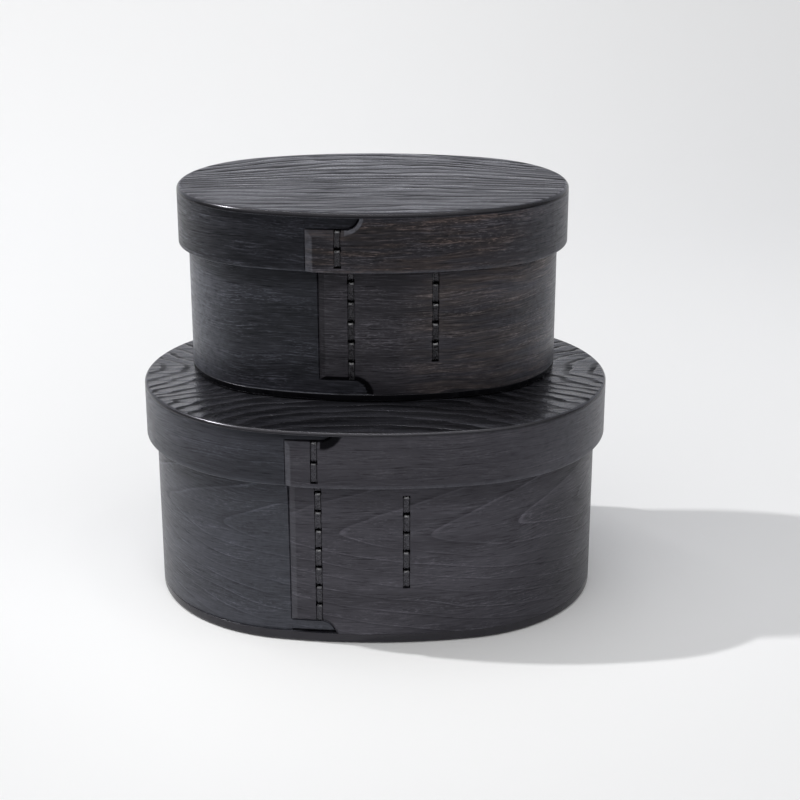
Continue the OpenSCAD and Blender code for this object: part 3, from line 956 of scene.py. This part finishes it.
    def connect(self):
        """Feed all that was drawn to the shader."""
        n, figure = self.n, self.figure
        relief = n.bump(self.height, figure["relief"], GRAIN_HEIGHT / figure["fine"])
        n.feed(n.shader.inputs["Base Color"], self.colour)
        n.feed(n.shader.inputs["Roughness"], self.rough)
        n.feed(n.shader.inputs["Specular IOR Level"], self.gloss)
        n.feed(n.shader.inputs["Specular Tint"], self.tint)
        n.feed(n.shader.inputs["Normal"], relief)


def stained_wood(name, seed, dark, light, figure):
    """Material of one stained board."""
    return StainedWood(name, seed, dark, light, figure).n.material


def bark_strip(name, dark, light):
    """Polished dark bark: crinkled, with fine lines along the strip, painted highlights on its rims and
    painted glints on its shoulders.
    """
    n = new_material(name)
    across, along, lighter_patch = grain_of(n)
    line = streaks(n, across, along, 1.1, 0.5, 2.0)
    fleck = streaks(n, across, along, 0.8, 2.4, 7.0, 2.0)
    crinkle = streaks(n, across, along, 0.5, 0.6, 11.0, 2.0)
    tone = n.add(n.ramp(fleck, 0.55, 0.7), -0.5, n.ramp(line, 0.3, 0.75, 0.1, 1.0))
    # Painted highlight along the strip's rims
    rim = n.ramp(n.math("ABSOLUTE", across), 0.30 * STRIP_WIDTH, 0.46 * STRIP_WIDTH)
    rim = n.times(rim, n.ramp(crinkle, 0.40, 0.60))
    colour = n.mix(n.times(rim, 0.35), n.mix(tone, dark, light), BARK_RIM_HIGHLIGHT)
    # Painted glints on the shoulders
    colour = n.mix(n.times(lighter_patch, n.ramp(fleck, 0.35, 0.55)), colour, BARK_GLINT)
    n.feed(n.shader.inputs["Base Color"], colour)
    n.feed(n.shader.inputs["Roughness"], n.ramp(line, 0.2, 0.8, 0.14, 0.30))
    n.feed(n.shader.inputs["Specular IOR Level"], 0.5)
    n.feed(n.shader.inputs["Specular Tint"], SHINE_TINT)
    n.feed(n.shader.inputs["Normal"], n.bump(n.add(line, 0.15, crinkle), 0.8, 0.0015))
    return n.material


# Stretches, along the bands, over which the wood turns cooler towards the left of the front
LARGE_COOL = (370.0, 500.0)
SMALL_COOL = (290.0, 400.0)
# Stretches rubbed brown: colour, start and stop
SIDE_BROWN = ((0.250, 0.205, 0.197, 1), 42, 120)
TAB_BROWN = ((0.145, 0.102, 0.090, 1), -6, 95)

# Figures of the bands
CATHEDRAL = PLAIN | dict(heart=48.0, squeeze=0.8, spread=11.0, period=39.0, lines=0.38, streak=0.45)
CATHEDRAL |= dict(shine=0.47, cool=LARGE_COOL)
FINE_LARGE = PLAIN | dict(streak=0.5, cool=LARGE_COOL)
BROWN_SIDE = PLAIN | dict(brown=SIDE_BROWN, shine=0.36, etch=0.8, cool=SMALL_COOL)
BROWN_TAB = PLAIN | dict(brown=TAB_BROWN, shine=0.34, streak=1.1, etch=0.9, cool=SMALL_COOL)

# Figures of the boards
TOP = PLAIN | dict(fine=0.25, run=0.28, cut=0.34, groove=1.0, patchy=True, edge=BLACK, edge_shine=0.4)
TONGUES = TOP | dict(heart=4.0, spread=8.0, tongue=(45.0, 0.75), wander=2.8, ridge=0.6, streak=0.5)
TONGUES |= dict(rough=0.24, brushed=0.12, dull=0.34, relief=0.6, shine=0.6, gleam=1.0)
ARCS = TOP | dict(heart=-90.0, spread=6.5, period=2000.0, wander=3.0, ridge=0.75, bow=0.004, calm=0.45)
ARCS |= dict(rough=0.42, brushed=0.30, dull=0.55, relief=1.0, shine=0.92, etch=0.8)
LARGE_BASE = TONGUES | dict(edge=(0.026, 0.025, 0.029, 1), gleam=0.4, shine=0.45, edge_shine=0.8)
SMALL_BASE = ARCS | dict(edge_shine=0.1)

# Materials
BAND_WOOD = {
    "large_body": stained_wood("LargeBodyWood", 1.0, LARGE_DARK, (0.120, 0.115, 0.138, 1), CATHEDRAL),
    "large_lid": stained_wood("LargeLidWood", 5.0, LARGE_DARK, (0.078, 0.074, 0.086, 1), FINE_LARGE),
    "small_body": stained_wood("SmallBodyWood", 12.0, SMALL_DARK, (0.100, 0.093, 0.108, 1), BROWN_SIDE),
    "small_lid": stained_wood("SmallLidWood", 23.0, SMALL_DARK, (0.090, 0.082, 0.093, 1), BROWN_TAB),
}
BOARD_WOOD = {
    "large_lid": stained_wood("LargeTopWood", 31.0, BLACK, (0.050, 0.050, 0.059, 1), TONGUES),
    "large_body": stained_wood("LargeBaseWood", 37.0, LARGE_DARK, (0.06, 0.06, 0.068, 1), LARGE_BASE),
    "small_lid": stained_wood("SmallTopWood", 43.0, BLACK, (0.100, 0.101, 0.115, 1), ARCS),
    "small_body": stained_wood("SmallBaseWood", 47.0, SMALL_DARK, (0.05, 0.05, 0.056, 1), SMALL_BASE),
}
BARK = {
    "large": bark_strip("LargeBark", (0.010, 0.010, 0.013, 1), (0.040, 0.039, 0.047, 1)),
    "small": bark_strip("SmallBark", BLACK, (0.014, 0.013, 0.014, 1)),
}

# The two boxes
for box in ("large", "small"):
    for kind in ("body", "lid"):
        band = Band(box, kind)
        band.build(BAND_WOOD[band.name])
        for row in band.rows:
            lace(band, row, BARK[box])
        make_board = base_board if kind == "body" else lid_board
        make_board(band, box, BOARD_WOOD[band.name])


def grey(value):
    """Colour without a tint."""
    return (value, value, value, 1)


def floor_material():
    """Pale floor: palest close to the front of the boxes, where a pool of light is painted against their
    shade, with painted light and shade across it against the lamps' falloff, and bluish high up behind
    them.
    """
    n = new_material("PaleFloor")
    x, y, z = n.split(n.put("ShaderNodeNewGeometry").outputs["Position"])
    # Painted light and shade across the floor, against the lamps' falloff
    near = n.mix(n.ramp(x, -0.25, 0.35), grey(0.835), grey(0.90))
    far = n.mix(n.ramp(x, -0.10, 0.45), grey(0.895), grey(0.835))
    away = n.math("SQRT", n.add(x, x, n.times(y, y)))
    # Painted pool of light close to the front of the boxes, against their shade
    close = n.times(n.ramp(away, 0.11, 0.26, 1.0, 0.3), n.ramp(y, -0.06, 0.10, 1.0, 0.0))
    close = n.times(close, n.ramp(x, -0.18, -0.06, 0.55, 1.0))
    colour = n.mix(n.ramp(y, 0.2, 0.8), n.mix(close, near, grey(0.99)), far)
    high_up = (0.91, 0.93, 1.0, 1)
    n.feed(n.shader.inputs["Base Color"], n.mix(n.ramp(z, 0.20, 0.42), colour, high_up))
    n.feed(n.shader.inputs["Roughness"], 0.85)
    n.feed(n.shader.inputs["Specular IOR Level"], 0.1)
    return n.material


def studio_floor():
    """Floor that sweeps up behind the object, in metres."""
    front, bend_start, bend, side, top = -4.0, 0.6, 0.7, 4.0, 3.0
    turn = np.radians(np.arange(6, 91, 6))
    profile = [(front, 0.0), (bend_start, 0.0)]
    profile += [(bend_start + bend * math.sin(a), bend - bend * math.cos(a)) for a in turn]
    profile += [(bend_start + bend, top)]
    points = [(x, y, z) for y, z in profile for x in (-side, side)]
    faces = [(2 * i, 2 * i + 1, 2 * i + 3, 2 * i + 2) for i in range(len(profile) - 1)]
    mesh = bpy.data.meshes.new("floor")
    mesh.from_pydata(points, [], faces)
    mesh.shade_smooth()
    mesh.materials.append(floor_material())
    floor = bpy.data.objects.new("floor", mesh)
    bpy.context.scene.collection.objects.link(floor)


def area_light(name, place, target, size, watts):
    """Rectangular lamp that faces a target."""
    lamp = bpy.data.lights.new(name, "AREA")
    lamp.shape = "RECTANGLE"
    lamp.size, lamp.size_y = size
    lamp.energy = watts
    made = bpy.data.objects.new(name, lamp)
    bpy.context.scene.collection.objects.link(made)
    made.location = place
    aim = np.array(target) - np.array(place)
    tilt = math.atan2(math.hypot(aim[0], aim[1]), -aim[2])
    made.rotation_euler = (tilt, 0, math.atan2(aim[1], aim[0]) - math.pi / 2)


def studio_world():
    """Soft white light, strongest from above the camera."""
    world = bpy.data.worlds.new("Studio")
    bpy.context.scene.world = world
    n = Nodes(world)
    _, y, z = n.split(n.put("ShaderNodeTexCoord").outputs["Generated"])
    facing = n.math("MAXIMUM", n.add(y, -0.6, n.times(z, 0.8)), 0.0)
    sky = n.tree.nodes["Background"]
    n.feed(sky.inputs["Color"], grey(1.0))
    n.feed(sky.inputs["Strength"], n.add(n.times(facing, facing), 0.62, 0.23))


def studio_light():
    """One small key from the left for the shadow, and narrow strips behind and above for the edges."""
    middle = (0.0, 0.0, 0.08)
    reach = 0.65
    key_place = np.array((-1.41, 0.13, 1.86)) * reach
    key_size = 0.055 * reach
    area_light("key", key_place, middle, (key_size, key_size), 25.0 * reach**2)
    area_light("back_strip", (0.25, 1.5, 1.5), middle, (0.6, 0.05), 2.5)
    area_light("top_strip", (-0.2, -0.15, 1.5), middle, (1.3, 0.012), 2.5)
    area_light("edge_strip", (0.36, -0.15, 1.5), middle, (0.18, 0.05), 0.5)


def photo_camera():
    """Camera that matches the photograph: its place, its fall and its focal length in image widths."""
    fall = math.radians(20.23)
    distance = 0.8085
    target = (0.0111, 0.0, 0.0856)
    focal_in_widths = 1772.0 / 800.0
    lens = bpy.data.cameras.new("photo")
    lens.sensor_width = 36.0
    lens.lens = lens.sensor_width * focal_in_widths
    lens.clip_end = 50.0
    camera = bpy.data.objects.new("photo", lens)
    bpy.context.scene.collection.objects.link(camera)
    back, up = distance * math.cos(fall), distance * math.sin(fall)
    camera.location = (target[0], target[1] - back, target[2] + up)
    camera.rotation_euler = (math.pi / 2 - fall, 0, 0)
    bpy.context.scene.camera = camera


studio_floor()
studio_world()
studio_light()
photo_camera()
bpy.context.scene.view_settings.view_transform = "Standard"
